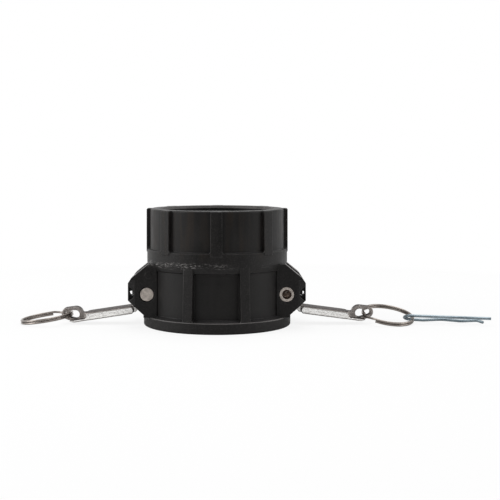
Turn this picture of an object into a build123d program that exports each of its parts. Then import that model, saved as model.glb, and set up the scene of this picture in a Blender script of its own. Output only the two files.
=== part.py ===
import math
import os

from build123d import *

os.makedirs("parts", exist_ok=True)

# Cam and groove coupler, nominal 3 inch: a female cam socket below and a female pipe
# thread above, in one plastic moulding, with two swung-open cam arms.
# Millimetres. The origin is the centre of the socket's mouth, +Z runs up the bore,
# +X runs to the right arm and +Y away from the viewer.

# Socket end, which stands on its flange
socket_bore_r = 46.2
mouth_chamfer = 1.2
flange_r = 58.0
flange_height = 8.3
flange_edge_r = 1.2
flange_top_edge_r = 0.8
ledge_rise = 1.6
lower_wall_r = 52.6
lower_wall_height = 34.9
cone_lip = 1.6
cone_lip_rise = 0.8
cone_height = 4.9

# Band and threaded end
band_r = 55.4
band_height = 9.8
band_edge_r = 0.5
band_ledge_rise = 0.9
upper_wall_r = 53.0
upper_wall_height = 31.0
rim_edge_r = 1.1
thread_root_r = 44.3
thread_length = 27.4
rim_chamfer = 1.1
rim_chamfer_height = 2.0

# Inside: gasket groove, waterway and the step below the thread
groove_r = 48.2
groove_height = 6.5
groove_offset = 0.7
waterway_r = 38.5
web_thickness = 6.0
step_r = 42.5
step_height = 3.0
gasket_clearance = 0.1
gasket_inner_r = 38.1
gasket_edge = 0.6

# Ribs
upper_rib_count = 8
upper_rib_width = 8.6
upper_rib_rise = 0.5
upper_rib_foot = 2.5
upper_rib_foot_r = 2.5
upper_rib_depth = 2.0
lower_rib_width = 7.4
lower_rib_foot_reach = 57.6
lower_rib_top_reach = 55.9
lower_rib_foot_r = 2.5
lower_rib_depth = 2.0
lower_rib_angles = (67.5, 112.5, 247.5, 292.5)

# Ears, one pair on each side, with the arm's slot between them
slot_width = 25.0
ear_thickness = 14.0
ear_reach = 68.7
ear_shoulder_x = 66.0
ear_top_x = 53.0
ear_top_z = 49.3
ear_shoulder_z = 38.7
ear_face_top_z = 34.6
ear_face_bottom_z = 21.2
ear_bevel_width = 5.7
ear_bevel_depth = 2.5
ear_bevel_bottom_z = 16.2
ear_bevel_top_z = 36.7
window_bottom_z = 12.6
window_top_z = 42.6
ear_root_x = 46.0
ear_foot_inset = 1.5
ear_foot_rise = 2.2
ejector_mark_x = 52.8
ejector_mark_z = 41.0
ejector_mark_r = 2.7
ejector_mark_rise = 0.3

# Pivot pins
pivot_x = 53.9
pivot_z = 26.1
pin_r = 4.8
pin_fit = 0.05
pin_hole_clearance = 0.06
pin_head_r = 5.2
pin_head_height = 1.6
pin_flare_r = 5.7
pin_flare_height = 1.2
pin_lip_height = 0.5
pin_edge_r = 0.3
pin_hollow_r = 3.65
pin_hollow_depth = 11.0
pin_drill_tip = 1.5
pin_drill_tip_r = 0.8
counterbore_r = 6.1
counterbore_depth = 2.0

# Hole through both ears that the safety clip locks, in a recess behind a thin rim
lock_hole_r = 1.93
lock_hole_x = 66.08
lock_hole_z = 26.5
lock_recess_r = 5.3
lock_recess_x = 69.3
lock_recess_depth = 5.0
lock_recess_rim = 0.55

# Cam arms, drawn with the pivot at the origin and the bar level
arm_side_clearance = 0.5
hub_r = 7.4
lobe_r = 14.6
lobe_shoulder = 9.9
lobe_back_bulge = (-4.6, 13.6)
lobe_nose_bulge = (5.2, 12.3)
lobe_nose_end = (8.0, 6.0)
lobe_front_x = 8.3
neck_width = 11.0
neck_top = (7.9, 1.0)
neck_hollow = (9.8, -4.2)
neck_landing = (2.8, -0.8)
neck_toe = (4.0, 1.2)
neck_heel = (-1.4, 0.9)
neck_root = ((3.4, -6.8), (2.0, 2.0))
bar_width = 16.0
bar_thickness = 6.4
bar_drop = 9.3
bar_start = 14.2
bar_end_bulge = 1.6
bar_top_edge_r = 0.9
bar_bottom_edge_r = 2.2
eye_reach = 60.3
eye_drop = 9.8
eye_r = 6.1
eye_tip_offset = 6.3
eye_tip_lift = 1.6
eye_tip_r = 4.6
eye_width = 7.0
eye_wall = 2.85
eye_tip_wall = 2.35
eye_pocket_r = 8.9
eye_lip = 2.1
lip_start = 5.2
lip_length = 10.4
left_droop = 8.5
right_droop = 7.4

# Split rings, two turns of round wire
ring_outer_r = 20.9
ring_wire_r = 0.85
ring_turn_gap = 0.04
ring_split_angle = 38.0
ring_ramp_steps = 6
ring_eye_reach = 63.4
ring_eye_drop = 9.1
ring_floor_gap = 0.05
right_ring_tilt = 11.5
right_ring_cut = -124.5
left_ring_cut = -94.0

# Safety clip, a hairpin of round wire
clip_wire_r = 1.15
clip_ring_gap = 0.3
clip_head_r = 6.0
clip_straight = 61.0
clip_yaw = -11.0
clip_tilt = 22.0
clip_slope = 0.5
clip_head_inset = 1.5
clip_cross_y = -3.9
clip_wave = ((9.0, -6.6), (23.0, -2.0), (38.0, -5.3), (50.5, -1.4), (55.2, -6.6))
clip_wave_radii = (9.0, 10.0, 10.0, 2.6)

# How far a cutting or trimming body runs past what it shapes
overlap = 1.0

# Heights that follow from the sizes above
ledge_z = flange_height + ledge_rise
lower_wall_top_z = ledge_z + lower_wall_height
band_z = lower_wall_top_z + cone_height
band_top_z = band_z + band_height
upper_wall_z = band_top_z + band_ledge_rise
top_z = upper_wall_z + upper_wall_height
groove_z = lower_wall_top_z + groove_offset
groove_top_z = groove_z + groove_height
step_z = groove_top_z + web_thickness
thread_top_z = top_z - rim_chamfer_height
thread_bottom_z = thread_top_z - thread_length
upper_rib_r = band_r + upper_rib_rise
slot_half = slot_width / 2
ear_face_y = slot_half + ear_thickness


def upright(points):
    """Face in the vertical plane through the axis, from (distance, height) points."""
    return Plane.XZ * make_face(Polyline(*points, close=True))


def spun(points, roundings=()):
    """Turned solid from (radius, height) points, some corners rounded first."""
    face = upright(points)
    for (r, z), radius in roundings:
        corner = face.vertices().sort_by_distance(Vector(r, 0, z))[0]
        face = fillet(corner, radius)
    return revolve(face, axis=Axis.Z)


def y_cylinder(radius, x, z, y_from, y_to):
    """Cylinder along Y between two Y values."""
    length = y_to - y_from
    return Pos(x, (y_from + y_to) / 2, z) * Rot(90, 0, 0) * Cylinder(radius, length)


def outer_shell():
    """Flange, lower wall, cone, band and upper wall as one turned form."""
    return spun(
        [
            (0, 0),
            (flange_r, 0),
            (flange_r, flange_height),
            (lower_wall_r, ledge_z),
            (lower_wall_r, lower_wall_top_z - cone_lip_rise),
            (lower_wall_r + cone_lip, lower_wall_top_z),
            (band_r, band_z),
            (band_r, band_top_z),
            (upper_wall_r, upper_wall_z),
            (upper_wall_r, top_z),
            (0, top_z),
        ],
        [
            ((flange_r, 0), flange_edge_r),
            ((flange_r, flange_height), flange_top_edge_r),
            ((band_r, band_top_z), band_edge_r),
            ((upper_wall_r, top_z), rim_edge_r),
        ],
    )


def cavity():
    """Everything open down the middle, from the socket's mouth to the threaded rim."""
    return spun(
        [
            (0, 0),
            (socket_bore_r + mouth_chamfer, 0),
            (socket_bore_r, mouth_chamfer),
            (socket_bore_r, groove_z),
            (groove_r, groove_z),
            (groove_r, groove_top_z),
            (waterway_r, groove_top_z),
            (waterway_r, step_z),
            (step_r, step_z),
            (step_r, step_z + step_height),
            (thread_root_r, thread_bottom_z),
            (thread_root_r, thread_top_z),
            (thread_root_r + rim_chamfer, top_z),
            (0, top_z),
        ]
    )


def rib_front(width, flank, foot_z, flare_z, head_z):
    """Front of a rib: parallel sides that flare out in quarter circles down to a height."""
    height = head_z - foot_z
    front = Pos(0, foot_z + height / 2) * Rectangle(width, height)
    flare = Pos(0, flare_z + flank / 2) * Rectangle(width + 2 * flank, flank)
    for side in (-1, 1):
        flare -= Pos(side * (width / 2 + flank), flare_z + flank) * Circle(flank)
    return front + flare


def upper_rib():
    """Rib with parallel sides and a rounded foot on the band, facing +X."""
    root_r = upper_wall_r - upper_rib_depth
    foot_z = band_top_z - upper_rib_foot
    front = rib_front(upper_rib_width, upper_rib_foot_r, foot_z, band_top_z, top_z)
    bar = extrude(Plane.YZ.offset(root_r - overlap) * front, 2 * (upper_rib_r - root_r))
    envelope = spun(
        [
            (root_r, foot_z),
            (band_r, foot_z),
            (upper_rib_r, foot_z + 2 * upper_rib_rise),
            (upper_rib_r, top_z),
            (root_r, top_z),
        ],
        [((upper_rib_r, top_z), rim_edge_r)],
    )
    return bar & envelope


def lower_rib():
    """Rib from the flange up to the cone, with a flared foot on the flange, facing +X."""
    root_r = lower_wall_r - lower_rib_depth
    foot_z = flange_height - overlap
    front = rib_front(lower_rib_width, lower_rib_foot_r, foot_z, flange_height - overlap / 2, band_z)
    bar = extrude(Plane.YZ.offset(root_r - overlap) * front, 2 * (lower_rib_foot_reach - root_r))
    envelope = spun(
        [
            (root_r, foot_z),
            (lower_rib_foot_reach, foot_z),
            (lower_rib_top_reach, lower_wall_top_z - cone_lip_rise),
            (band_r, band_z),
            (root_r, band_z),
        ]
    )
    return bar & envelope


def ear_outline(side):
    """Outline of an ear seen along the pin, on the left (-1) or the right (1)."""
    points = [
        (ear_root_x, flange_height),
        (flange_r - ear_foot_inset, flange_height),
        (flange_r - ear_foot_inset, flange_height + ear_foot_rise),
        (ear_reach, ear_face_bottom_z),
        (ear_reach, ear_face_top_z),
        (ear_shoulder_x, ear_shoulder_z),
        (ear_top_x, ear_top_z),
        (ear_root_x, ear_top_z),
    ]
    return upright([(side * x, z) for x, z in points])


def bevel_wedge(side):
    """What the bevel takes off the outer face of an ear at its outboard edge."""
    foot = ear_reach - ear_bevel_width
    points = [
        (side * foot, -ear_face_y),
        (side * (ear_reach + overlap), -ear_face_y - overlap),
        (side * (ear_reach + overlap), -ear_face_y + ear_bevel_depth * (1 + overlap / ear_bevel_width)),
    ]
    wedge = make_face(Polyline(*points, close=True))
    return Pos(0, 0, ear_bevel_bottom_z) * extrude(wedge, ear_bevel_top_z - ear_bevel_bottom_z)


def front_ear(side):
    """Ear on the viewer's side of the slot, with its bevel."""
    ear = Pos(0, -slot_half, 0) * extrude(ear_outline(side), ear_thickness)
    ear -= bevel_wedge(side)
    return ear


def pin_holes(side):
    """Pin bore with a counterbore at both ends, and the lock hole in its recesses."""
    x = side * pivot_x
    end = ear_face_y + overlap
    seat = ear_face_y - counterbore_depth
    holes = y_cylinder(pin_r + pin_fit, x, pivot_z, -end, end)
    holes += y_cylinder(counterbore_r, x, pivot_z, -end, -seat)
    holes += y_cylinder(counterbore_r, x, pivot_z, seat, end)
    holes += y_cylinder(lock_hole_r, side * lock_hole_x, lock_hole_z, -end, end)
    recess = y_cylinder(
        lock_recess_r, side * lock_recess_x, lock_hole_z, ear_face_y - lock_recess_depth, end
    )
    rim_x = ear_reach - lock_recess_rim
    recess &= Pos(side * (rim_x - lock_recess_r), 0, lock_hole_z) * Box(
        2 * lock_recess_r, 2 * end, 4 * lock_recess_r
    )
    return holes + recess + mirror(recess, about=Plane.XZ)


def ejector_mark():
    """Small raised disc that the mould leaves on the left front ear."""
    face = -ear_face_y
    return y_cylinder(
        ejector_mark_r, -ejector_mark_x, ejector_mark_z, face - ejector_mark_rise, face + overlap
    )


def coupler_body():
    """The one moulding: shell, ribs, ears, windows for the cams and all its holes."""
    body = outer_shell()
    for index in range(upper_rib_count):
        body += Rot(0, 0, index * 360 / upper_rib_count) * upper_rib()
    for angle in lower_rib_angles:
        body += Rot(0, 0, angle) * lower_rib()
    body -= cavity()
    ears = [front_ear(side) for side in (-1, 1)]
    ears += [mirror(ear, about=Plane.XZ) for ear in ears]
    ear_ring_r = math.hypot(ear_reach, ear_face_y) + overlap
    ear_ring = spun(
        [
            (socket_bore_r + overlap, flange_height - overlap),
            (ear_ring_r, flange_height - overlap),
            (ear_ring_r, band_top_z),
            (groove_r + overlap, band_top_z),
            (groove_r + overlap, groove_z - overlap),
            (socket_bore_r + overlap, groove_z - overlap),
        ]
    )
    for ear in ears:
        body += ear & ear_ring
    body += ejector_mark()
    body += Rot(0, 0, 180) * ejector_mark()
    height = window_top_z - window_bottom_z
    inner_x = math.sqrt(socket_bore_r**2 - slot_half**2) - overlap
    outer_x = ear_reach + overlap
    window = Box(outer_x - inner_x, slot_width, height)
    for side in (-1, 1):
        body -= Pos(side * (inner_x + outer_x) / 2, 0, window_bottom_z + height / 2) * window
        body -= pin_holes(side)
    return body


def gasket():
    """Flat ring washer that the mating end of the other half presses against."""
    low = groove_z + gasket_clearance / 2
    high = groove_top_z - gasket_clearance / 2
    outer = groove_r - 2 * gasket_clearance
    inner = gasket_inner_r
    edge = gasket_edge
    return spun(
        [
            (inner + edge, low),
            (outer - edge, low),
            (outer, low + edge),
            (outer, high - edge),
            (outer - edge, high),
            (inner + edge, high),
            (inner, high - edge),
            (inner, low + edge),
        ]
    )


def pivot_pin(side):
    """Rivet pin through both ears: a flat head at one end, a flared hollow end at the other."""
    seat = ear_face_y - counterbore_depth
    x = side * pivot_x
    pin = y_cylinder(pin_r, x, pivot_z, -seat - pin_head_height, seat)
    head = y_cylinder(pin_head_r, x, pivot_z, -seat - pin_head_height, -seat)
    outer_rim = head.edges().filter_by(GeomType.CIRCLE).sort_by(Axis.Y)[0]
    pin += fillet(outer_rim, pin_edge_r)
    flare = Pos(x, seat + pin_flare_height / 2, pivot_z) * Rot(-90, 0, 0) * Cone(
        pin_r, pin_flare_r, pin_flare_height
    )
    end = seat + pin_flare_height + pin_lip_height
    lip = y_cylinder(pin_flare_r, x, pivot_z, seat + pin_flare_height, end)
    lip_rim = lip.edges().filter_by(GeomType.CIRCLE).sort_by(Axis.Y)[-1]
    pin += flare + fillet(lip_rim, pin_edge_r)
    floor = end - pin_hollow_depth
    pin -= y_cylinder(pin_hollow_r, x, pivot_z, floor, end + overlap)
    pin -= Pos(x, floor - pin_drill_tip / 2, pivot_z) * Rot(-90, 0, 0) * Cone(
        pin_drill_tip_r, pin_hollow_r, pin_drill_tip
    )
    if side > 0:
        pin = mirror(pin, about=Plane.XZ)
    return pin


def cam_outline():
    """Hub round the pin, with the cam lobe rising from it and a flat towards the bore."""
    back = (-hub_r, lobe_shoulder)
    top = (0, lobe_r)
    front = (lobe_front_x, 0)
    lobe = make_face(
        Polyline((-hub_r, 0), back)
        + ThreePointArc(back, lobe_back_bulge, top)
        + ThreePointArc(top, lobe_nose_bulge, lobe_nose_end)
        + Polyline(lobe_nose_end, front, (-hub_r, 0))
    )
    return Circle(hub_r) + lobe


def neck_outline():
    """Web that drops from the hub to the start of the bar."""
    bar_bottom = -bar_drop - bar_thickness
    landing = (bar_start + neck_landing[0], neck_landing[1] - bar_drop)
    toe = (bar_start + neck_toe[0], bar_bottom + neck_toe[1])
    heel = (bar_start + neck_heel[0], bar_bottom + neck_heel[1])
    return make_face(
        Polyline(neck_root[1], neck_top)
        + ThreePointArc(neck_top, neck_hollow, landing)
        + Polyline(landing, toe, heel, *neck_root)
    )


def bar_outline():
    """Straight grip of the arm seen from the side, its near end rounded."""
    top = -bar_drop
    bottom = top - bar_thickness
    end_top = (bar_start + bar_end_bulge, top)
    end_bottom = (bar_start + bar_end_bulge, bottom)
    return make_face(
        ThreePointArc(end_top, (bar_start, (top + bottom) / 2), end_bottom)
        + Polyline(end_bottom, (eye_reach, bottom), (eye_reach, top), end_top)
    )


def bar_section(length, start):
    """Bar with lightly rounded top edges and fuller bottom ones, along X from a start."""
    section = Pos(0, -bar_drop - bar_thickness / 2) * Rectangle(bar_width, bar_thickness)
    corners = section.vertices().group_by(Axis.Y)
    section = fillet(corners[-1], bar_top_edge_r)
    corners = section.vertices().group_by(Axis.Y)
    section = fillet(corners[0], bar_bottom_edge_r)
    return extrude(Plane.YZ.offset(start) * section, length)


def eye_outline(shrink, tip_shrink):
    """Egg shape round the eye, made smaller all round for the hole."""
    root = Vector(eye_reach, -eye_drop)
    tip = root + Vector(eye_tip_offset, eye_tip_lift)
    root_r = eye_r - shrink
    tip_r = eye_tip_r - tip_shrink
    along = (tip - root).normalized()
    spread = math.degrees(math.acos((root_r - tip_r) / (tip - root).length))
    above = along.rotate(Axis.Z, spread)
    below = along.rotate(Axis.Z, -spread)
    top = Line(root + above * root_r, tip + above * tip_r)
    nose = ThreePointArc(tip + above * tip_r, tip + along * tip_r, tip + below * tip_r)
    bottom = Line(tip + below * tip_r, root + below * root_r)
    heel = ThreePointArc(root + below * root_r, root - along * root_r, root + above * root_r)
    return make_face(top + nose + bottom + heel)


def cam_arm_level():
    """Cam arm with its pivot at the origin and its bar level, reaching along +X."""
    hub_width = slot_width - 2 * arm_side_clearance
    arm = extrude(Plane.XZ * cam_outline(), hub_width / 2, both=True)
    arm += extrude(Plane.XZ * neck_outline(), neck_width / 2, both=True)
    bar = extrude(Plane.XZ * bar_outline(), bar_width, both=True)
    bar &= bar_section(eye_reach - bar_start + overlap, bar_start - overlap)
    eye = extrude(Plane.XZ * eye_outline(0, 0), eye_width / 2, both=True)
    lip_top = -eye_drop - eye_r + eye_lip
    lip = extrude(Plane.XZ * eye_outline(0, 0), bar_width, both=True)
    lip &= bar_section(lip_length, eye_reach - lip_start)
    lip &= Pos(eye_reach, 0, lip_top - eye_r) * Box(4 * eye_r, bar_width, 2 * eye_r)
    pocket = Pos(eye_reach, 0, -eye_drop) * Rot(90, 0, 0) * Cylinder(eye_pocket_r, bar_width * 2)
    pocket -= Pos(eye_reach, 0, -eye_drop) * Box(4 * eye_pocket_r, eye_width, 4 * eye_pocket_r)
    pocket -= Pos(eye_reach, 0, lip_top - 2 * eye_pocket_r) * Box(
        4 * eye_pocket_r, 3 * bar_width, 4 * eye_pocket_r
    )
    arm += bar - pocket
    arm += eye + lip
    hole = extrude(Plane.XZ * eye_outline(eye_wall, eye_tip_wall), bar_width, both=True)
    arm -= hole
    bore = Rot(90, 0, 0) * Cylinder(pin_r + pin_hole_clearance, hub_width * 2)
    return arm - bore


def posed_arm(side, droop):
    """The arm on its pin, on the right (1) or turned round to the left (-1)."""
    arm = Rot(0, droop, 0) * cam_arm_level()
    arm = Pos(pivot_x, 0, pivot_z) * arm
    if side < 0:
        arm = Rot(0, 0, 180) * arm
    return arm


def ring_stack_half():
    """Half the height of the two turns together."""
    return 2 * ring_wire_r + ring_turn_gap / 2


def split_ring(cut_angle):
    """Two flat turns of wire round Z, joined by one ramp beside the cut ends."""
    mean_r = ring_outer_r - ring_wire_r
    level = ring_wire_r + ring_turn_gap / 2
    sweep_angle = 360 - ring_split_angle
    low = CenterArc((0, 0, -level), mean_r, 0, sweep_angle)
    high = CenterArc((0, 0, level), mean_r, 0, sweep_angle)
    ramp_points = []
    for step in range(ring_ramp_steps + 1):
        share = step / ring_ramp_steps
        angle = math.radians(sweep_angle + ring_split_angle * share)
        height = level * (6 * share**2 - 4 * share**3 - 1)
        ramp_points.append((mean_r * math.cos(angle), mean_r * math.sin(angle), height))
    ramp = Spline(*ramp_points, tangents=(low % 1, high % 0))
    path = low + ramp + high
    ring = sweep(Plane(origin=low @ 0, z_dir=low % 0) * Circle(ring_wire_r), path=path)
    return Rot(0, 0, cut_angle) * ring


def ring_slope(eye_height, tilt):
    """Angle at which a ring hung in the eye leans down to the floor, in degrees."""
    mean_r = ring_outer_r - ring_wire_r
    fall = (eye_height - ring_stack_half() - ring_floor_gap) / mean_r
    side_rise = math.sin(math.radians(tilt))
    return math.degrees(math.asin((fall**2 - side_rise**2) / (2 * fall)))


def ring_eye_point(droop):
    """Where the middle of a ring's wire lies in the eye, as (distance, height)."""
    angle = math.radians(droop)
    x = pivot_x + ring_eye_reach * math.cos(angle) - ring_eye_drop * math.sin(angle)
    z = pivot_z - ring_eye_reach * math.sin(angle) - ring_eye_drop * math.cos(angle)
    return x, z


def ring_frame(droop, tilt):
    """Location of a ring's centre and plane, with its local -X end in the right eye."""
    x, z = ring_eye_point(droop)
    slope = ring_slope(z, tilt)
    mean_r = ring_outer_r - ring_wire_r
    return Pos(x, 0, z) * Rot(0, slope, 0) * Rot(tilt, 0, 0) * Pos(mean_r, 0, 0)


def right_pull_ring():
    return ring_frame(right_droop, right_ring_tilt) * split_ring(right_ring_cut)


def left_pull_ring():
    return Rot(0, 0, 180) * ring_frame(left_droop, 0) * split_ring(left_ring_cut)


def clip_frame():
    """Plane of the safety clip: x along its legs, y from the wavy leg to the straight one."""
    band_point = ring_frame(right_droop, right_ring_tilt) * Pos(ring_outer_r - ring_wire_r, 0, 0)
    far = band_point.position
    tilt = math.radians(right_ring_tilt)
    reach = ring_stack_half() + clip_ring_gap + clip_wire_r
    cross_z = far.Z + clip_cross_y * math.tan(tilt) + reach / math.cos(tilt)
    yaw = math.radians(clip_yaw)
    slope = math.radians(clip_slope)
    along = Vector(math.cos(yaw) * math.cos(slope), math.sin(yaw) * math.cos(slope), -math.sin(slope))
    lean = math.radians(clip_tilt)
    across = Vector(0, -math.cos(lean), math.sin(lean))
    across = (across - along * across.dot(along)).normalized()
    normal = along.cross(across)
    straight_start = Vector(far.X - clip_head_inset, clip_cross_y, cross_z)
    return Plane(origin=straight_start - across * clip_head_r, x_dir=along, z_dir=normal)


def safety_clip():
    """Hairpin clip: straight leg, round head through the ring, wavy leg with a turned-out tip."""
    head = ThreePointArc((0, clip_head_r), (-clip_head_r, 0), (0, -clip_head_r))
    straight = Line((clip_straight, clip_head_r), (0, clip_head_r))
    wave = FilletPolyline(*((0, -clip_head_r),) + clip_wave, radius=clip_wave_radii)
    frame = clip_frame()
    path = frame * (straight + head + wave)
    wire_start = Plane(origin=path @ 0, z_dir=path % 0)
    clip = sweep(wire_start * Circle(clip_wire_r), path=path, transition=Transition.ROUND)
    return clip


nodes = {
    "coupler_body": coupler_body(),
    "gasket": gasket(),
    "left_cam_arm": posed_arm(-1, left_droop),
    "right_cam_arm": posed_arm(1, right_droop),
    "left_pivot_pin": pivot_pin(-1),
    "right_pivot_pin": pivot_pin(1),
    "left_pull_ring": left_pull_ring(),
    "right_pull_ring": right_pull_ring(),
    "safety_clip": safety_clip(),
}

for name, shape in nodes.items():
    export_step(shape, f"parts/{name}.step")
    print(name, round(shape.volume, 1))
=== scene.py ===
import math

import bpy
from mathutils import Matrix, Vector


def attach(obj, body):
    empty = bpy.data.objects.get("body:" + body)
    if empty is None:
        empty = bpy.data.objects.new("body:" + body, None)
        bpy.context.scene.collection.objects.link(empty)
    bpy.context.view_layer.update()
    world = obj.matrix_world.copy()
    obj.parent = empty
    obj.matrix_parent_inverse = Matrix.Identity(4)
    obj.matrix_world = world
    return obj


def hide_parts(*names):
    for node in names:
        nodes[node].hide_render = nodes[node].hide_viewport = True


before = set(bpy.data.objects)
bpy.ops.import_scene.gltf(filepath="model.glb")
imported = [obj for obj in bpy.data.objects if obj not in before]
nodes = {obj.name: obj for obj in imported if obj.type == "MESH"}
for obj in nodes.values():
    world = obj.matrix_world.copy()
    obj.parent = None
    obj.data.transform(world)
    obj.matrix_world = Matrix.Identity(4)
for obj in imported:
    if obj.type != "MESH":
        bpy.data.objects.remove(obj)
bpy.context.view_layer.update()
print("frame loaded:", len(nodes), "CAD nodes")


def deselectAll():
    if bpy.context.object and bpy.context.object.mode != "OBJECT":
        bpy.ops.object.mode_set(mode="OBJECT")
    bpy.ops.object.select_all(action="DESELECT")


def makeActive(obj):
    deselectAll()
    obj.select_set(True)
    bpy.context.view_layer.objects.active = obj


def newMaterial(name):
    mat = bpy.data.materials.new(name)
    mat.use_nodes = True
    tree = mat.node_tree
    tree.nodes.clear()
    output = tree.nodes.new("ShaderNodeOutputMaterial")
    shader = tree.nodes.new("ShaderNodeBsdfPrincipled")
    tree.links.new(shader.outputs["BSDF"], output.inputs["Surface"])
    return mat, tree, shader


def paint(obj, mat):
    if len(obj.material_slots) == 0:
        obj.data.materials.append(mat)
    for slot in obj.material_slots:
        slot.material = mat


def ramp(tree, low, high, source):
    node = tree.nodes.new("ShaderNodeMapRange")
    node.inputs["From Min"].default_value = low
    node.inputs["From Max"].default_value = high
    tree.links.new(source, node.inputs["Value"])
    return node.outputs["Result"]


def span(tree, source, low, high):  # stretches a mask of 0 to 1 between two values
    node = tree.nodes.new("ShaderNodeMapRange")
    node.inputs["To Min"].default_value = low
    node.inputs["To Max"].default_value = high
    tree.links.new(source, node.inputs["Value"])
    return node.outputs["Result"]


def mathNode(tree, operation, *values):
    node = tree.nodes.new("ShaderNodeMath")
    node.operation = operation
    for socket, value in zip(node.inputs, values):
        if isinstance(value, (int, float)):
            socket.default_value = value
        else:
            tree.links.new(value, socket)
    return node.outputs["Value"]


def times(tree, first, second):
    return mathNode(tree, "MULTIPLY", first, second)


def mixColour(tree, mask, first, second):
    node = tree.nodes.new("ShaderNodeMix")
    node.data_type = "RGBA"
    tree.links.new(mask, node.inputs["Factor"])
    for name, value in (("A", first), ("B", second)):
        socket = [s for s in node.inputs if s.name == name and s.type == "RGBA"][0]
        if isinstance(value, tuple):
            socket.default_value = value
        else:
            tree.links.new(value, socket)
    return [s for s in node.outputs if s.type == "RGBA"][0]


def readPlace(tree):  # the object's own coordinates, whole and split, and the way its faces look
    coords = tree.nodes.new("ShaderNodeTexCoord")
    place = tree.nodes.new("ShaderNodeSeparateXYZ")
    tree.links.new(coords.outputs["Object"], place.inputs["Vector"])
    facing = tree.nodes.new("ShaderNodeSeparateXYZ")
    tree.links.new(coords.outputs["Normal"], facing.inputs["Vector"])
    return coords.outputs["Object"], place.outputs, facing.outputs


def stretchedNoise(tree, coords, scale, detail, roughness=0.5):
    mapping = tree.nodes.new("ShaderNodeMapping")
    mapping.inputs["Scale"].default_value = scale
    tree.links.new(coords, mapping.inputs["Vector"])
    noise = tree.nodes.new("ShaderNodeTexNoise")
    noise.inputs["Scale"].default_value = 1.0
    noise.inputs["Detail"].default_value = detail
    noise.inputs["Roughness"].default_value = roughness
    tree.links.new(mapping.outputs["Vector"], noise.inputs["Vector"])
    return noise.outputs["Fac"]


grainSizes = {"grainDetail": 4.0, "blotchDetail": 3.0, "roughness": 0.6}


def buildGrainGroup():  # fine surface grain and larger blotches
    group = bpy.data.node_groups.new("surfaceGrain", "ShaderNodeTree")
    sockets = group.interface
    for name in ("Grain Scale", "Blotch Scale", "Seed"):
        sockets.new_socket(name, in_out="INPUT", socket_type="NodeSocketFloat")
    for name in ("Grain", "Blotch"):
        sockets.new_socket(name, in_out="OUTPUT", socket_type="NodeSocketFloat")
    start = group.nodes.new("NodeGroupInput")
    end = group.nodes.new("NodeGroupOutput")
    coords = group.nodes.new("ShaderNodeTexCoord")
    shift = group.nodes.new("ShaderNodeVectorMath")
    shift.operation = "ADD"
    group.links.new(coords.outputs["Object"], shift.inputs[0])
    group.links.new(start.outputs["Seed"], shift.inputs[1])
    for label in ("Grain", "Blotch"):
        noise = group.nodes.new("ShaderNodeTexNoise")
        noise.inputs["Detail"].default_value = grainSizes[label.lower() + "Detail"]
        noise.inputs["Roughness"].default_value = grainSizes["roughness"]
        group.links.new(shift.outputs["Vector"], noise.inputs["Vector"])
        group.links.new(start.outputs[label + " Scale"], noise.inputs["Scale"])
        group.links.new(noise.outputs["Fac"], end.inputs[label])
    return group


grainGroup = buildGrainGroup()


def addGrain(tree, look):
    node = tree.nodes.new("ShaderNodeGroup")
    node.node_tree = grainGroup
    node.inputs["Grain Scale"].default_value = look["grainScale"]
    node.inputs["Blotch Scale"].default_value = look["blotchScale"]
    node.inputs["Seed"].default_value = look["seed"]
    return node.outputs["Grain"], node.outputs["Blotch"]


edgeSizes = {
    "samples": 8,
    "shelterReach": 0.006,
    "turned": (0.995, 0.90),  # dot product of the rounded and the flat normal, which falls at an edge
    "openAir": (0.60, 0.85),
    "sheltered": (0.85, 0.40),
}


def buildEdgeGroup():  # outer edges, rubbed and with a painted highlight; painted shade in creases; and a normal that rounds the corners
    sizes = edgeSizes
    group = bpy.data.node_groups.new("edgeWear", "ShaderNodeTree")
    sockets = group.interface
    sockets.new_socket("Radius", in_out="INPUT", socket_type="NodeSocketFloat")
    sockets.new_socket("Edge Wear And Sheen", in_out="OUTPUT", socket_type="NodeSocketFloat")
    sockets.new_socket("Crease Shade", in_out="OUTPUT", socket_type="NodeSocketFloat")
    sockets.new_socket("Soft Normal", in_out="OUTPUT", socket_type="NodeSocketVector")
    start = group.nodes.new("NodeGroupInput")
    end = group.nodes.new("NodeGroupOutput")
    bevel = group.nodes.new("ShaderNodeBevel")
    bevel.samples = sizes["samples"]
    group.links.new(start.outputs["Radius"], bevel.inputs["Radius"])
    geometry = group.nodes.new("ShaderNodeNewGeometry")
    turned = group.nodes.new("ShaderNodeVectorMath")
    turned.operation = "DOT_PRODUCT"
    group.links.new(bevel.outputs["Normal"], turned.inputs[0])
    group.links.new(geometry.outputs["Normal"], turned.inputs[1])
    shelter = group.nodes.new("ShaderNodeAmbientOcclusion")
    shelter.samples = sizes["samples"]
    shelter.only_local = True
    shelter.inputs["Distance"].default_value = sizes["shelterReach"]
    # edge mask: where rubbing and a painted highlight go on outer edges
    edge = times(group, ramp(group, *sizes["turned"], turned.outputs["Value"]),
                 ramp(group, *sizes["openAir"], shelter.outputs["AO"]))
    group.links.new(edge, end.inputs["Edge Wear And Sheen"])
    # crease mask: painted shade where the surface is sheltered
    group.links.new(ramp(group, *sizes["sheltered"], shelter.outputs["AO"]), end.inputs["Crease Shade"])
    group.links.new(bevel.outputs["Normal"], end.inputs["Soft Normal"])
    return group


edgeGroup = buildEdgeGroup()


def addEdges(tree, radius):
    node = tree.nodes.new("ShaderNodeGroup")
    node.node_tree = edgeGroup
    node.inputs["Radius"].default_value = radius
    return node.outputs["Edge Wear And Sheen"], node.outputs["Crease Shade"], node.outputs["Soft Normal"]


def addBump(tree, shader, height, look, softNormal=None):
    bump = tree.nodes.new("ShaderNodeBump")
    if softNormal:
        tree.links.new(softNormal, bump.inputs["Normal"])
    bump.inputs["Strength"].default_value = look["bumpStrength"]
    bump.inputs["Distance"].default_value = look["bumpHeight"]
    tree.links.new(height, bump.inputs["Height"])
    tree.links.new(bump.outputs["Normal"], shader.inputs["Normal"])


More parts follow.
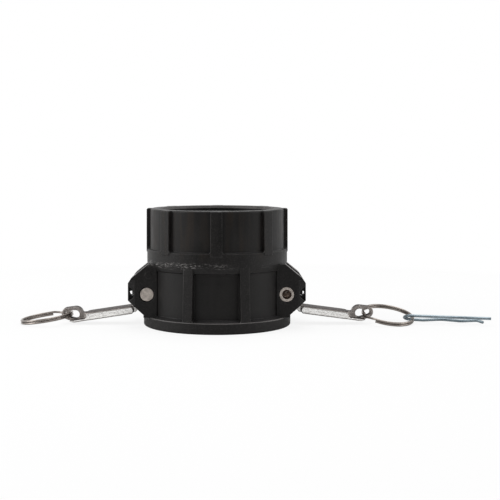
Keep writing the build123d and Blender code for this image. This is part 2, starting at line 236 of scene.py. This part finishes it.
# Colours, and places in metres. A pair gives where a mask starts and where it is full.
plasticLook = {
    "grainScale": 2600.0,
    "blotchScale": 55.0,
    "seed": 0.0,
    "bumpStrength": 0.3,
    "bumpHeight": 0.0001,
    "cornerRadius": 0.0008,
    "roughLow": 0.42,
    "roughHigh": 0.60,
    "specular": 0.23,
    "dark": (0.0034, 0.0030, 0.0028, 1),
    "light": (0.0090, 0.0079, 0.0074, 1),
    "flowScale": (260, 260, 14),  # long upright flow marks
    "flowDetail": 2.0,
    "flowShare": 0.45,
    "tone": (0.36, 0.66),
    "brown": (0.0135, 0.0092, 0.0064, 1),  # faint brown marks on the upper wall
    "brownScale": (150, 150, 22),
    "brownDetail": 3.0,
    "brownMarks": (0.50, 0.72),
    "brownHeights": (0.052, 0.064),
    "filmAndTopLight": (0.028, 0.027, 0.027, 1),  # paler on faces that look up: painted light from above, with a pale film
    "filmAndTopLightUpward": (0.35, 0.92),
    "filmAndTopLightBlotch": (0.2, 0.7),
    "slope": (0.17, 0.16, 0.157, 1),  # more painted light on the ears' slopes and inside the rim
    "litSlopeLow": (0.32, 0.42),
    "litSlopeHigh": (0.92, 0.84),
    "litSlopeBlotch": (0.15, 0.6),
    "earReach": (0.0560, 0.0570),
    "mouthReach": (0.0470, 0.0460),
    "mouthShare": 0.55,
    # painted shade in creases and corners
    "creaseShade": (0.0012, 0.0011, 0.0011, 1),
    "creaseShadeShare": 0.85,
    # outer edges paler: painted highlight, with some real rubbing
    "edge": (0.060, 0.057, 0.056, 1),
    "edgeBlotch": (0.30, 0.62),
    "scuff": (0.36, 0.345, 0.335, 1),
    "scuffMiddle": 0.0500,  # height of the rubbed lower edge of the band
    "scuffReach": (0.0032, 0.00096),
    "scuffSides": (0.048, -0.020),  # the rubbing fades out to the right
    "scuffScale": (330, 330, 1500),
    "scuffDetail": 7.0,
    "scuffRoughness": 0.72,
    "scuffMarks": (0.52, 0.66),
    "patchScale": (70, 70, 160),
    "patchDetail": 3.0,
    "patches": (0.42, 0.58),
    "dust": (0.045, 0.042, 0.041, 1),
    "dustScale": (1100, 1100, 900),
    "dustDetail": 5.0,
    "dustRoughness": 0.75,
    "dustGrains": (0.50, 0.74),
    "dustShare": 0.55,
    "dustBehind": 0.25,  # share of the dust on what doesn't stand proud
    "dustReach": (0.0531, 0.0535),
    "boreShade": (0.0010, 0.0009, 0.0009, 1),  # painted shade inside the bore
    "boreReach": (0.0449, 0.0445),
    "boreHeights": (0.0892, 0.0886),
}


def paintWall(tree, look, coords, place, blotch):  # the moulded surface itself
    flow = stretchedNoise(tree, coords, look["flowScale"], look["flowDetail"])
    mottle = mathNode(tree, "ADD", times(tree, blotch, 1.0 - look["flowShare"]),
                      times(tree, flow, look["flowShare"]))
    tone = ramp(tree, *look["tone"], mottle)
    colour = mixColour(tree, tone, look["dark"], look["light"])
    marks = stretchedNoise(tree, coords, look["brownScale"], look["brownDetail"])
    brown = times(tree, ramp(tree, *look["brownMarks"], marks),
                  ramp(tree, *look["brownHeights"], place["Z"]))
    return mixColour(tree, brown, colour, look["brown"]), tone


def paintFilmAndPaintedLight(tree, look, colour, facing, fromAxis, blotch):  # painted light from above, with a chalky film, on ledges and slopes
    filmAndTopLightMask = times(tree, ramp(tree, *look["filmAndTopLightUpward"], facing["Z"]),
                 ramp(tree, *look["filmAndTopLightBlotch"], blotch))
    colour = mixColour(tree, filmAndTopLightMask, colour, look["filmAndTopLight"])
    # painted highlight on the ears' slopes and the rim's inner chamfer
    litSlopes = times(tree, ramp(tree, *look["litSlopeLow"], facing["Z"]),
                    ramp(tree, *look["litSlopeHigh"], facing["Z"]))
    ears = ramp(tree, *look["earReach"], fromAxis)
    mouth = span(tree, ramp(tree, *look["mouthReach"], fromAxis), 0.0, look["mouthShare"])
    litSlopes = times(tree, litSlopes, mathNode(tree, "MAXIMUM", ears, mouth))
    litSlopes = times(tree, litSlopes, ramp(tree, *look["litSlopeBlotch"], blotch))
    return mixColour(tree, litSlopes, colour, look["slope"])


def findScuffs(tree, look, coords, place):  # pale dashes along the band's lower edge
    height = mathNode(tree, "SUBTRACT", place["Z"], look["scuffMiddle"])
    band = ramp(tree, *look["scuffReach"], mathNode(tree, "ABSOLUTE", height))
    leftward = ramp(tree, *look["scuffSides"], place["X"])
    dashes = stretchedNoise(tree, coords, look["scuffScale"], look["scuffDetail"], look["scuffRoughness"])
    patches = stretchedNoise(tree, coords, look["patchScale"], look["patchDetail"])
    marks = times(tree, ramp(tree, *look["scuffMarks"], dashes), ramp(tree, *look["patches"], patches))
    return times(tree, marks, times(tree, band, leftward))


def findDust(tree, look, coords, fromAxis):  # powder, thicker on ribs, band, flange and ears
    grains = stretchedNoise(tree, coords, look["dustScale"], look["dustDetail"], look["dustRoughness"])
    proud = span(tree, ramp(tree, *look["dustReach"], fromAxis), look["dustBehind"], 1.0)
    return times(tree, ramp(tree, *look["dustGrains"], grains), times(tree, proud, look["dustShare"]))


def buildPlastic():
    look = plasticLook
    mat, tree, shader = newMaterial("blackMouldedPlastic")
    grain, blotch = addGrain(tree, look)
    edge, creaseShade, softNormal = addEdges(tree, look["cornerRadius"])
    coords, place, facing = readPlace(tree)
    fromAxis = mathNode(tree, "SQRT", mathNode(tree, "ADD", mathNode(tree, "POWER", place["X"], 2.0),
                                               mathNode(tree, "POWER", place["Y"], 2.0)))
    colour, tone = paintWall(tree, look, coords, place, blotch)
    colour = paintFilmAndPaintedLight(tree, look, colour, facing, fromAxis, blotch)
    # painted shade in creases
    colour = mixColour(tree, times(tree, creaseShade, look["creaseShadeShare"]), colour, look["creaseShade"])
    # painted highlight on outer edges, with some rubbing
    rubbedAndSheen = times(tree, edge, ramp(tree, *look["edgeBlotch"], blotch))
    colour = mixColour(tree, rubbedAndSheen, colour, look["edge"])
    colour = mixColour(tree, findDust(tree, look, coords, fromAxis), colour, look["dust"])
    colour = mixColour(tree, findScuffs(tree, look, coords, place), colour, look["scuff"])
    # painted shade inside the bore
    inside = times(tree, ramp(tree, *look["boreReach"], fromAxis),
                   ramp(tree, *look["boreHeights"], place["Z"]))
    colour = mixColour(tree, inside, colour, look["boreShade"])
    tree.links.new(colour, shader.inputs["Base Color"])
    tree.links.new(span(tree, tone, look["roughLow"], look["roughHigh"]), shader.inputs["Roughness"])
    shader.inputs["Specular IOR Level"].default_value = look["specular"]
    addBump(tree, shader, grain, look, softNormal)
    return mat


pinLook = {
    "bright": (0.56, 0.505, 0.46, 1),
    "dull": (0.36, 0.32, 0.29, 1),
    # painted shade in creases, tinted rust brown
    "creaseShade": (0.16, 0.07, 0.04, 1),
    "grainScale": 1500.0,
    "blotchScale": 420.0,
    "seed": 2.0,
    "tone": (0.38, 0.64),
    "flat": (0.9, 0.6),  # faces square to the pin's axis stay free of shaded creases
    "roughLow": 0.28,
    "roughHigh": 0.5,
    "cornerRadius": 0.0002,
    "bumpStrength": 0.2,
    "bumpHeight": 0.0001,
}

ringLook = dict(
    pinLook,
    bright=(0.30, 0.27, 0.245, 1),
    dull=(0.19, 0.165, 0.15, 1),
    # painted shade in creases and between the wire's turns
    creaseShade=(0.05, 0.04, 0.035, 1),
    blotchScale=90.0,
    seed=5.0,
    roughLow=0.18,
    roughHigh=0.30,
    bumpStrength=0.0,
)

clipLook = dict(
    ringLook,
    bright=(0.26, 0.31, 0.34, 1),
    dull=(0.17, 0.21, 0.235, 1),
    # painted shade in creases
    creaseShade=(0.06, 0.07, 0.08, 1),
    seed=7.0,
    roughLow=0.22,
    roughHigh=0.36,
)


def buildSteel(name, look):
    mat, tree, shader = newMaterial(name)
    grain, blotch = addGrain(tree, look)
    creaseShade, softNormal = addEdges(tree, look["cornerRadius"])[1:]
    facing = readPlace(tree)[2]
    colour = mixColour(tree, ramp(tree, *look["tone"], blotch), look["bright"], look["dull"])
    notFlat = ramp(tree, *look["flat"], mathNode(tree, "ABSOLUTE", facing["Y"]))
    # painted shade in creases, kept off faces square to the pin's axis
    colour = mixColour(tree, times(tree, creaseShade, notFlat), colour, look["creaseShade"])
    tree.links.new(colour, shader.inputs["Base Color"])
    tree.links.new(span(tree, blotch, look["roughLow"], look["roughHigh"]), shader.inputs["Roughness"])
    shader.inputs["Metallic"].default_value = 1.0
    addBump(tree, shader, grain, look, softNormal)
    return mat


armLook = {
    "grainScale": 1300.0,
    "blotchScale": 330.0,
    "seed": 1.0,
    "bumpStrength": 0.35,
    "bumpHeight": 0.0002,
    "dentShare": 2.5,
    "cornerRadius": 0.0004,
    "specular": 0.3,
    "roughCast": 0.62,
    "roughGround": 0.27,
    "tone": (0.38, 0.66),
    "dull": (0.080, 0.068, 0.064, 1),  # the oxide skin on top, with painted shade there as well
    "dullDark": (0.036, 0.030, 0.028, 1),
    "side": (0.42, 0.39, 0.37, 1),  # all other faces as cast
    "sideDark": (0.24, 0.215, 0.20, 1),
    "upward": (0.45, 0.75),
    # painted shade in creases
    "creaseShade": (0.05, 0.042, 0.038, 1),
    "creaseShadeShare": 0.25,
    "bright": (0.97, 0.96, 0.94, 1),  # the bar's ground flanks
    "brightWorn": (0.68, 0.66, 0.64, 1),
    "sideways": (0.60, 0.85),
    "flankReach": (0.0048, 0.0058),  # from the arm's middle plane
    "raggedness": 0.0012,
    "barX": 0.075,  # where the heights of the bar's top are taken
    "barTop": {"left": 0.01354, "right": 0.01398},
    "barFall": {"left": 0.1493, "right": 0.1300},
    "besideMiddle": (-0.001, 0.001),
    "stripDepth": (0.0010, 0.0016),  # the cast skin reaches this far down the flank
    "speckleDepth": (0.0017, 0.0034),
    "speckleScale": (420, 420, 1100),
    "speckleDetail": 4.0,
    "speckleRoughness": 0.65,
    "speckles": (0.42, 0.62),
}


def measureDepth(tree, look, place):  # how far a point lies below the bar's top edge
    rightSide = ramp(tree, *look["besideMiddle"], place["X"])
    top = span(tree, rightSide, look["barTop"]["left"], look["barTop"]["right"])
    fall = span(tree, rightSide, look["barFall"]["left"], look["barFall"]["right"])
    along = mathNode(tree, "SUBTRACT", mathNode(tree, "ABSOLUTE", place["X"]), look["barX"])
    topHere = mathNode(tree, "SUBTRACT", top, times(tree, fall, along))
    return mathNode(tree, "SUBTRACT", topHere, place["Z"])


def buildArmSteel():  # ground bright on the bar's two flanks, dull as cast elsewhere, with painted shade on the top and in creases
    look = armLook
    mat, tree, shader = newMaterial("castArmSteel")
    grain, blotch = addGrain(tree, look)
    creaseShade, softNormal = addEdges(tree, look["cornerRadius"])[1:]
    coords, place, facing = readPlace(tree)
    tone = ramp(tree, *look["tone"], blotch)
    # the top: oxide skin with painted shade
    skinAndTopShade = mixColour(tree, tone, look["dull"], look["dullDark"])
    cast = mixColour(tree, tone, look["side"], look["sideDark"])
    depth = measureDepth(tree, look, place)
    speckle = stretchedNoise(tree, coords, look["speckleScale"], look["speckleDetail"],
                             look["speckleRoughness"])
    worn = times(tree, ramp(tree, *look["speckles"], speckle), ramp(tree, *look["speckleDepth"], depth))
    ground = mixColour(tree, worn, look["bright"], look["brightWorn"])

    ragged = times(tree, mathNode(tree, "SUBTRACT", blotch, 0.5), look["raggedness"])
    fromMiddle = mathNode(tree, "ADD", mathNode(tree, "ABSOLUTE", place["Y"]), ragged)
    sideways = ramp(tree, *look["sideways"], mathNode(tree, "ABSOLUTE", facing["Y"]))
    flank = times(tree, sideways, ramp(tree, *look["flankReach"], fromMiddle))
    flank = times(tree, flank, ramp(tree, *look["stripDepth"], mathNode(tree, "ADD", depth, ragged)))
    upward = ramp(tree, *look["upward"], facing["Z"])
    # faces that look up take the skin and its painted shade
    colour = mixColour(tree, upward, cast, skinAndTopShade)
    colour = mixColour(tree, flank, colour, ground)
    # painted shade in creases
    colour = mixColour(tree, times(tree, creaseShade, look["creaseShadeShare"]), colour, look["creaseShade"])
    tree.links.new(colour, shader.inputs["Base Color"])
    tree.links.new(span(tree, flank, look["roughCast"], look["roughGround"]), shader.inputs["Roughness"])
    tree.links.new(span(tree, upward, 1.0, 0.0), shader.inputs["Metallic"])
    shader.inputs["Specular IOR Level"].default_value = look["specular"]
    dents = mathNode(tree, "ADD", grain, times(tree, blotch, look["dentShare"]))
    addBump(tree, shader, dents, look, softNormal)
    return mat


rubberLook = {
    "dark": (0.02, 0.02, 0.02, 1),
    "light": (0.05, 0.05, 0.05, 1),
    "grainScale": 1800.0,
    "blotchScale": 120.0,
    "seed": 3.0,
    "roughness": (-0.8, 1.0),
    "bumpStrength": 0.3,
    "bumpHeight": 0.0001,
}


def buildRubber():
    look = rubberLook
    mat, tree, shader = newMaterial("gasketRubber")
    grain, blotch = addGrain(tree, look)
    tree.links.new(mixColour(tree, blotch, look["dark"], look["light"]), shader.inputs["Base Color"])
    tree.links.new(ramp(tree, *look["roughness"], blotch), shader.inputs["Roughness"])
    addBump(tree, shader, grain, look)
    return mat


plastic = buildPlastic()
armSteel = buildArmSteel()
pinSteel = buildSteel("pinSteel", pinLook)
ringSteel = buildSteel("ringWireSteel", ringLook)
clipZinc = buildSteel("zincClipWire", clipLook)
rubber = buildRubber()

paint(nodes["coupler_body"], plastic)
paint(nodes["gasket"], rubber)
for side in ("left", "right"):
    paint(nodes[side + "_pivot_pin"], pinSteel)
    paint(nodes[side + "_pull_ring"], ringSteel)
paint(nodes["safety_clip"], clipZinc)
print("materials done")


armCast = {
    "mergeReach": 0.00001,
    "voxel": 0.00042,
    "roundPasses": 6,  # smoothing that rounds every edge as a casting's
    "eye": {"left": (-0.1121, 0.0075), "right": (0.1124, 0.0086)},  # X and Z of the eye's middle
    "pocketInner": 0.0066,
    "pocketOuter": 0.0125,
    "beyondEye": 0.004,  # how far past the eye's middle the run-out is smoothed
    "blendGain": 1.6,
    "blendPasses": 34,  # further smoothing where the bar runs out into the eye
    "facesKept": 0.45,
}


def copyArm(side):
    source = nodes[side + "_cam_arm"]
    arm = source.copy()
    arm.data = source.data.copy()
    arm.name = side + "_arm_casting"
    bpy.context.collection.objects.link(arm)
    makeActive(arm)
    bpy.ops.object.mode_set(mode="EDIT")
    bpy.ops.mesh.select_all(action="SELECT")
    bpy.ops.mesh.remove_doubles(threshold=armCast["mergeReach"])
    bpy.ops.object.mode_set(mode="OBJECT")
    return arm


def markRunOut(arm, side):  # weights round the eye, full midway between the pocket's two radii
    eyeX, eyeZ = armCast["eye"][side]
    middle = (armCast["pocketInner"] + armCast["pocketOuter"]) / 2
    half = (armCast["pocketOuter"] - armCast["pocketInner"]) / 2
    group = arm.vertex_groups.new(name="runOut")
    for vertex in arm.data.vertices:
        away = math.hypot(vertex.co.x - eyeX, vertex.co.z - eyeZ)
        weight = 1.0 - abs(away - middle) / half
        if weight > 0 and abs(vertex.co.x) < abs(eyeX) + armCast["beyondEye"]:
            group.add([vertex.index], min(1.0, armCast["blendGain"] * weight), "REPLACE")
    return group


def smoothArm(arm, name, passes, groupName=""):
    smoothing = arm.modifiers.new(name, "SMOOTH")
    smoothing.factor = 0.5
    smoothing.iterations = passes
    smoothing.vertex_group = groupName
    bpy.ops.object.modifier_apply(modifier=smoothing.name)


def buildArm(side):
    arm = copyArm(side)
    remesh = arm.modifiers.new("castSkin", "REMESH")
    remesh.mode = "VOXEL"
    remesh.voxel_size = armCast["voxel"]
    bpy.ops.object.modifier_apply(modifier=remesh.name)
    smoothArm(arm, "rounding", armCast["roundPasses"])
    group = markRunOut(arm, side)
    smoothArm(arm, "blend", armCast["blendPasses"], group.name)
    thin = arm.modifiers.new("thin", "DECIMATE")
    thin.ratio = armCast["facesKept"]
    bpy.ops.object.modifier_apply(modifier=thin.name)
    bpy.ops.object.shade_smooth()
    arm.data.materials.clear()
    paint(arm, armSteel)
    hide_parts(side + "_cam_arm")
    print(side, "arm casting:", len(arm.data.polygons), "faces")


for side in ("left", "right"):
    buildArm(side)


threadRidge = {
    "rootRadius": 0.0443,  # the bore that the ridge stands on
    "sink": 0.0004,  # into the wall
    "depth": 0.0021,
    "footHalf": 0.00125,
    "crestHalf": 0.00025,
    "pitch": 0.003175,
    "turns": 7.6,
    "low": 0.0636,
    "stepsPerTurn": 96,
    "smoothAngle": 35,
}


def buildThread():
    ridge = threadRidge
    slope = (ridge["footHalf"] - ridge["crestHalf"]) / ridge["depth"]
    sunkHalf = ridge["footHalf"] + slope * ridge["sink"]
    footRadius = ridge["rootRadius"] + ridge["sink"]
    crestRadius = ridge["rootRadius"] - ridge["depth"]
    deselectAll()
    bpy.ops.mesh.primitive_plane_add(size=1.0, location=(0, 0, 0))
    thread = bpy.context.object
    thread.name = "pipe_thread_ridge"
    profile = (
        (footRadius, -sunkHalf),
        (footRadius, sunkHalf),
        (crestRadius, ridge["crestHalf"]),
        (crestRadius, -ridge["crestHalf"]),
    )
    corners = sorted(thread.data.vertices, key=lambda v: math.atan2(v.co.y, v.co.x))
    for corner, (radius, height) in zip(corners, profile):
        corner.co = Vector((radius, 0, ridge["low"] + height))
    bpy.ops.object.mode_set(mode="EDIT")
    bpy.ops.mesh.select_all(action="SELECT")
    bpy.ops.mesh.delete(type="ONLY_FACE")
    bpy.ops.object.mode_set(mode="OBJECT")
    screw = thread.modifiers.new("helix", "SCREW")
    screw.axis = "Z"
    screw.angle = 2 * math.pi * ridge["turns"]
    screw.screw_offset = ridge["pitch"] * ridge["turns"]
    screw.steps = round(ridge["stepsPerTurn"] * ridge["turns"])
    screw.render_steps = screw.steps
    screw.use_merge_vertices = False
    bpy.ops.object.modifier_apply(modifier=screw.name)
    bpy.ops.object.mode_set(mode="EDIT")
    bpy.ops.mesh.select_all(action="DESELECT")
    bpy.ops.mesh.select_non_manifold()
    bpy.ops.mesh.fill()
    bpy.ops.mesh.select_all(action="SELECT")
    bpy.ops.mesh.normals_make_consistent(inside=False)
    bpy.ops.object.mode_set(mode="OBJECT")
    bpy.ops.object.shade_smooth_by_angle(angle=math.radians(ridge["smoothAngle"]))
    paint(thread, plastic)
    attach(thread, "coupler")


buildThread()
print("pipe thread done")


stageSizes = {
    "floorSize": 30.0,
    "floorColour": (0.93, 0.93, 0.93, 1),
    "floorRoughness": 0.9,
    "white": (1, 1, 1, 1),
    "fade": (0.15, 0.5),  # the floor turns plain white between these distances
    "whiteShare": 0.85,
    "glossShare": 0.05,
    "front": (-0.12, -0.35),  # reflected, the floor darkens between these places on Y
    "frontShade": 0.2,
    "worldLight": 0.40,
    "roomShade": 0.15,  # how light the room low in front of the table is
    "roomFront": (-0.15, -0.75),
    "roomLow": (0.60, 0.20),
}


def seenRays(tree):  # straight rays and rays in gloss, both of which show the white surroundings
    path = tree.nodes.new("ShaderNodeLightPath")
    straight = mathNode(tree, "MAXIMUM", path.outputs["Is Camera Ray"], path.outputs["Is Transmission Ray"])
    return straight, path.outputs["Is Glossy Ray"]


def buildFloor():
    sizes = stageSizes
    deselectAll()
    bpy.ops.mesh.primitive_plane_add(size=sizes["floorSize"], location=(0, 0, 0))
    floor = bpy.context.object
    floor.name = "floor"
    mat, tree, shader = newMaterial("paleFloor")
    shader.inputs["Base Color"].default_value = sizes["floorColour"]
    shader.inputs["Roughness"].default_value = sizes["floorRoughness"]
    shader.inputs["Specular IOR Level"].default_value = 0.0
    coords, place = readPlace(tree)[:2]
    reach = tree.nodes.new("ShaderNodeVectorMath")
    reach.operation = "LENGTH"
    tree.links.new(coords, reach.inputs[0])
    far = ramp(tree, *sizes["fade"], reach.outputs["Value"])
    front = ramp(tree, *sizes["front"], place["Y"])
    straight, gloss = seenRays(tree)
    white = tree.nodes.new("ShaderNodeEmission")
    white.inputs["Color"].default_value = sizes["white"]
    shade = span(tree, times(tree, gloss, front), 1.0, sizes["frontShade"])
    tree.links.new(shade, white.inputs["Strength"])
    straightShare = times(tree, straight, mathNode(tree, "MAXIMUM", far, sizes["whiteShare"]))
    glossWhite = mathNode(tree, "MAXIMUM", mathNode(tree, "MAXIMUM", far, front), sizes["glossShare"])
    share = mathNode(tree, "MAXIMUM", straightShare, times(tree, gloss, glossWhite))
    mix = tree.nodes.new("ShaderNodeMixShader")
    tree.links.new(share, mix.inputs["Fac"])
    tree.links.new(shader.outputs["BSDF"], mix.inputs[1])
    tree.links.new(white.outputs["Emission"], mix.inputs[2])
    output = [node for node in tree.nodes if node.type == "OUTPUT_MATERIAL"][0]
    tree.links.new(mix.outputs["Shader"], output.inputs["Surface"])
    paint(floor, mat)


def buildWorld():  # a pale room, darker low down in front of the table
    sizes = stageSizes
    world = bpy.data.worlds.new("studio")
    bpy.context.scene.world = world
    world.use_nodes = True
    tree = world.node_tree
    tree.nodes.clear()
    output = tree.nodes.new("ShaderNodeOutputWorld")
    light = tree.nodes.new("ShaderNodeBackground")
    light.inputs["Color"].default_value = sizes["white"]
    coords = tree.nodes.new("ShaderNodeTexCoord")
    towards = tree.nodes.new("ShaderNodeSeparateXYZ")
    tree.links.new(coords.outputs["Generated"], towards.inputs["Vector"])
    lowFront = times(tree, ramp(tree, *sizes["roomFront"], towards.outputs["Y"]),
                     ramp(tree, *sizes["roomLow"], towards.outputs["Z"]))
    room = span(tree, lowFront, 1.0, sizes["roomShade"])
    straight, gloss = seenRays(tree)
    level = times(tree, mathNode(tree, "MAXIMUM", gloss, sizes["worldLight"]), room)
    tree.links.new(mathNode(tree, "MAXIMUM", straight, level), light.inputs["Strength"])
    tree.links.new(light.outputs["Background"], output.inputs["Surface"])


lampTarget = (0.02, 0, 0.03)
lamps = {
    "leftLamp": {"place": (-1.5, -0.35, 0.7), "size": 1.0, "power": 15.0},
    "rightLamp": {"place": (1.5, -0.35, 0.7), "size": 1.0, "power": 7.0},
    "topLamp": {"place": (0.1, 0.2, 1.6), "size": 1.1, "power": 12.0},
}


def buildLamps():
    for name, sizes in lamps.items():
        deselectAll()
        bpy.ops.object.light_add(type="AREA", location=sizes["place"])
        lamp = bpy.context.object
        lamp.name = name
        lamp.data.shape = "SQUARE"
        lamp.data.size = sizes["size"]
        lamp.data.energy = sizes["power"]
        aim = Vector(lampTarget) - Vector(sizes["place"])
        lamp.rotation_euler = aim.to_track_quat("-Z", "Y").to_euler()


cameraSizes = {
    "place": (0.010, -0.850, 0.132),
    "lens": 77.04,
    "sensor": 36.0,
    "shiftDown": 0.186,  # the camera looks level, and its picture is moved down to the coupler
    "shiftSide": 0.0404,
    "nearest": 0.01,
}


def buildCamera():
    sizes = cameraSizes
    deselectAll()
    bpy.ops.object.camera_add(location=sizes["place"])
    camera = bpy.context.object
    camera.rotation_euler = (math.radians(90), 0, 0)
    camera.data.shift_x = sizes["shiftSide"]
    camera.data.shift_y = -sizes["shiftDown"]
    camera.data.lens = sizes["lens"]
    camera.data.sensor_width = sizes["sensor"]
    camera.data.clip_start = sizes["nearest"]
    bpy.context.scene.camera = camera


buildFloor()
buildWorld()
buildLamps()
buildCamera()
bpy.context.scene.view_settings.view_transform = "Standard"
print("stage done")
